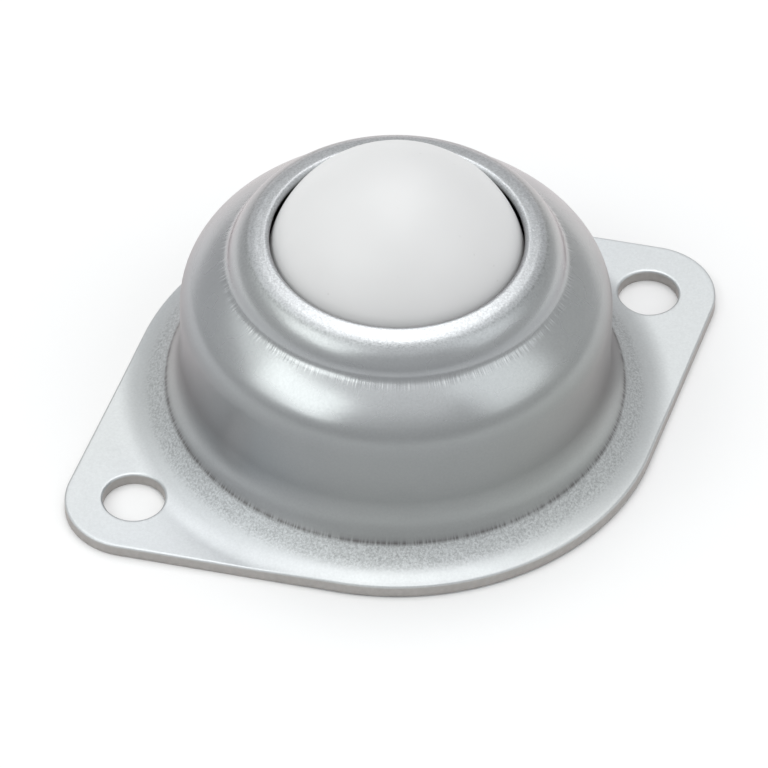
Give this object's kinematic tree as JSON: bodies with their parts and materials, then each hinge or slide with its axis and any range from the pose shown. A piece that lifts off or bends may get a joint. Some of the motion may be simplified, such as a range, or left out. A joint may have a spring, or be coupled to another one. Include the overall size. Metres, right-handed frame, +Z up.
{
  "type": "ball transfer unit",
  "caption": "Flange-mounted ball transfer unit: a nylon load ball turns on small steel balls in a cup, held by a pressed sheet housing with a curled lip and a rhombic flange.",
  "frame": {"origin": "middle of the flange's underside, on the axis of the ball", "axes": "+Z up through the load ball, X through the two mounting holes"},
  "size_m": [0.0714, 0.0522, 0.0307],
  "materials": {
    "zinc_plated_sheet": "zinc-plated, satin",
    "white_nylon": "satin",
    "hardened_cup": "hardened, smooth",
    "zinc_plated_cover": "zinc-plated, satin",
    "bearing_steel": "polished"
  },
  "bodies": {
    "housing": {"housing": "zinc_plated_sheet", "ball_cup": "hardened_cup", "base_cover": "zinc_plated_cover"},
    "centre_ball": {"support_ball_centre": "bearing_steel"},
    "load_ball": {"load_ball": "white_nylon"},
    "support_balls": {"support_ball_row1_01": "bearing_steel", "support_ball_row1_02": "bearing_steel", "support_ball_row1_03": "bearing_steel", "support_ball_row1_04": "bearing_steel", "support_ball_row1_05": "bearing_steel", "support_ball_row1_06": "bearing_steel", "support_ball_row2_01": "bearing_steel", "support_ball_row2_02": "bearing_steel", "support_ball_row2_03": "bearing_steel", "support_ball_row2_04": "bearing_steel", "support_ball_row2_05": "bearing_steel", "support_ball_row2_06": "bearing_steel", "support_ball_row2_07": "bearing_steel", "support_ball_row2_08": "bearing_steel", "support_ball_row2_09": "bearing_steel", "support_ball_row2_10": "bearing_steel", "support_ball_row2_11": "bearing_steel", "support_ball_row2_12": "bearing_steel", "support_ball_row3_01": "bearing_steel", "support_ball_row3_02": "bearing_steel", "support_ball_row3_03": "bearing_steel", "support_ball_row3_04": "bearing_steel", "support_ball_row3_05": "bearing_steel", "support_ball_row3_06": "bearing_steel", "support_ball_row3_07": "bearing_steel", "support_ball_row3_08": "bearing_steel", "support_ball_row3_09": "bearing_steel", "support_ball_row3_10": "bearing_steel", "support_ball_row3_11": "bearing_steel", "support_ball_row3_12": "bearing_steel", "support_ball_row3_13": "bearing_steel", "support_ball_row3_14": "bearing_steel", "support_ball_row3_15": "bearing_steel", "support_ball_row3_16": "bearing_steel", "support_ball_row4_01": "bearing_steel", "support_ball_row4_02": "bearing_steel", "support_ball_row4_03": "bearing_steel", "support_ball_row4_04": "bearing_steel", "support_ball_row4_05": "bearing_steel", "support_ball_row4_06": "bearing_steel", "support_ball_row4_07": "bearing_steel", "support_ball_row4_08": "bearing_steel", "support_ball_row4_09": "bearing_steel", "support_ball_row4_10": "bearing_steel", "support_ball_row4_11": "bearing_steel", "support_ball_row4_12": "bearing_steel", "support_ball_row4_13": "bearing_steel", "support_ball_row4_14": "bearing_steel", "support_ball_row4_15": "bearing_steel", "support_ball_row4_16": "bearing_steel", "support_ball_row4_17": "bearing_steel", "support_ball_row4_18": "bearing_steel", "support_ball_row4_19": "bearing_steel"}
  },
  "joints": [
    {"name": "turn", "type": "hinge", "parent": "housing", "child": "centre_ball", "pos_m": [0, 0, 0.018], "axis": [0, 0, 1], "continuous": true},
    {"name": "roll", "type": "hinge", "parent": "centre_ball", "child": "load_ball", "pos_m": [0, 0, 0.018], "axis": [1, 0, 0], "continuous": true},
    {"name": "support_ball_orbit", "type": "hinge", "parent": "housing", "child": "support_balls", "pos_m": [0, 0, 0.018], "axis": [0, 0, 1], "continuous": true}
  ],
  "couplings": [
    {"joint": "turn", "follows": "support_ball_orbit", "ratio": 2.3197}
  ]
}
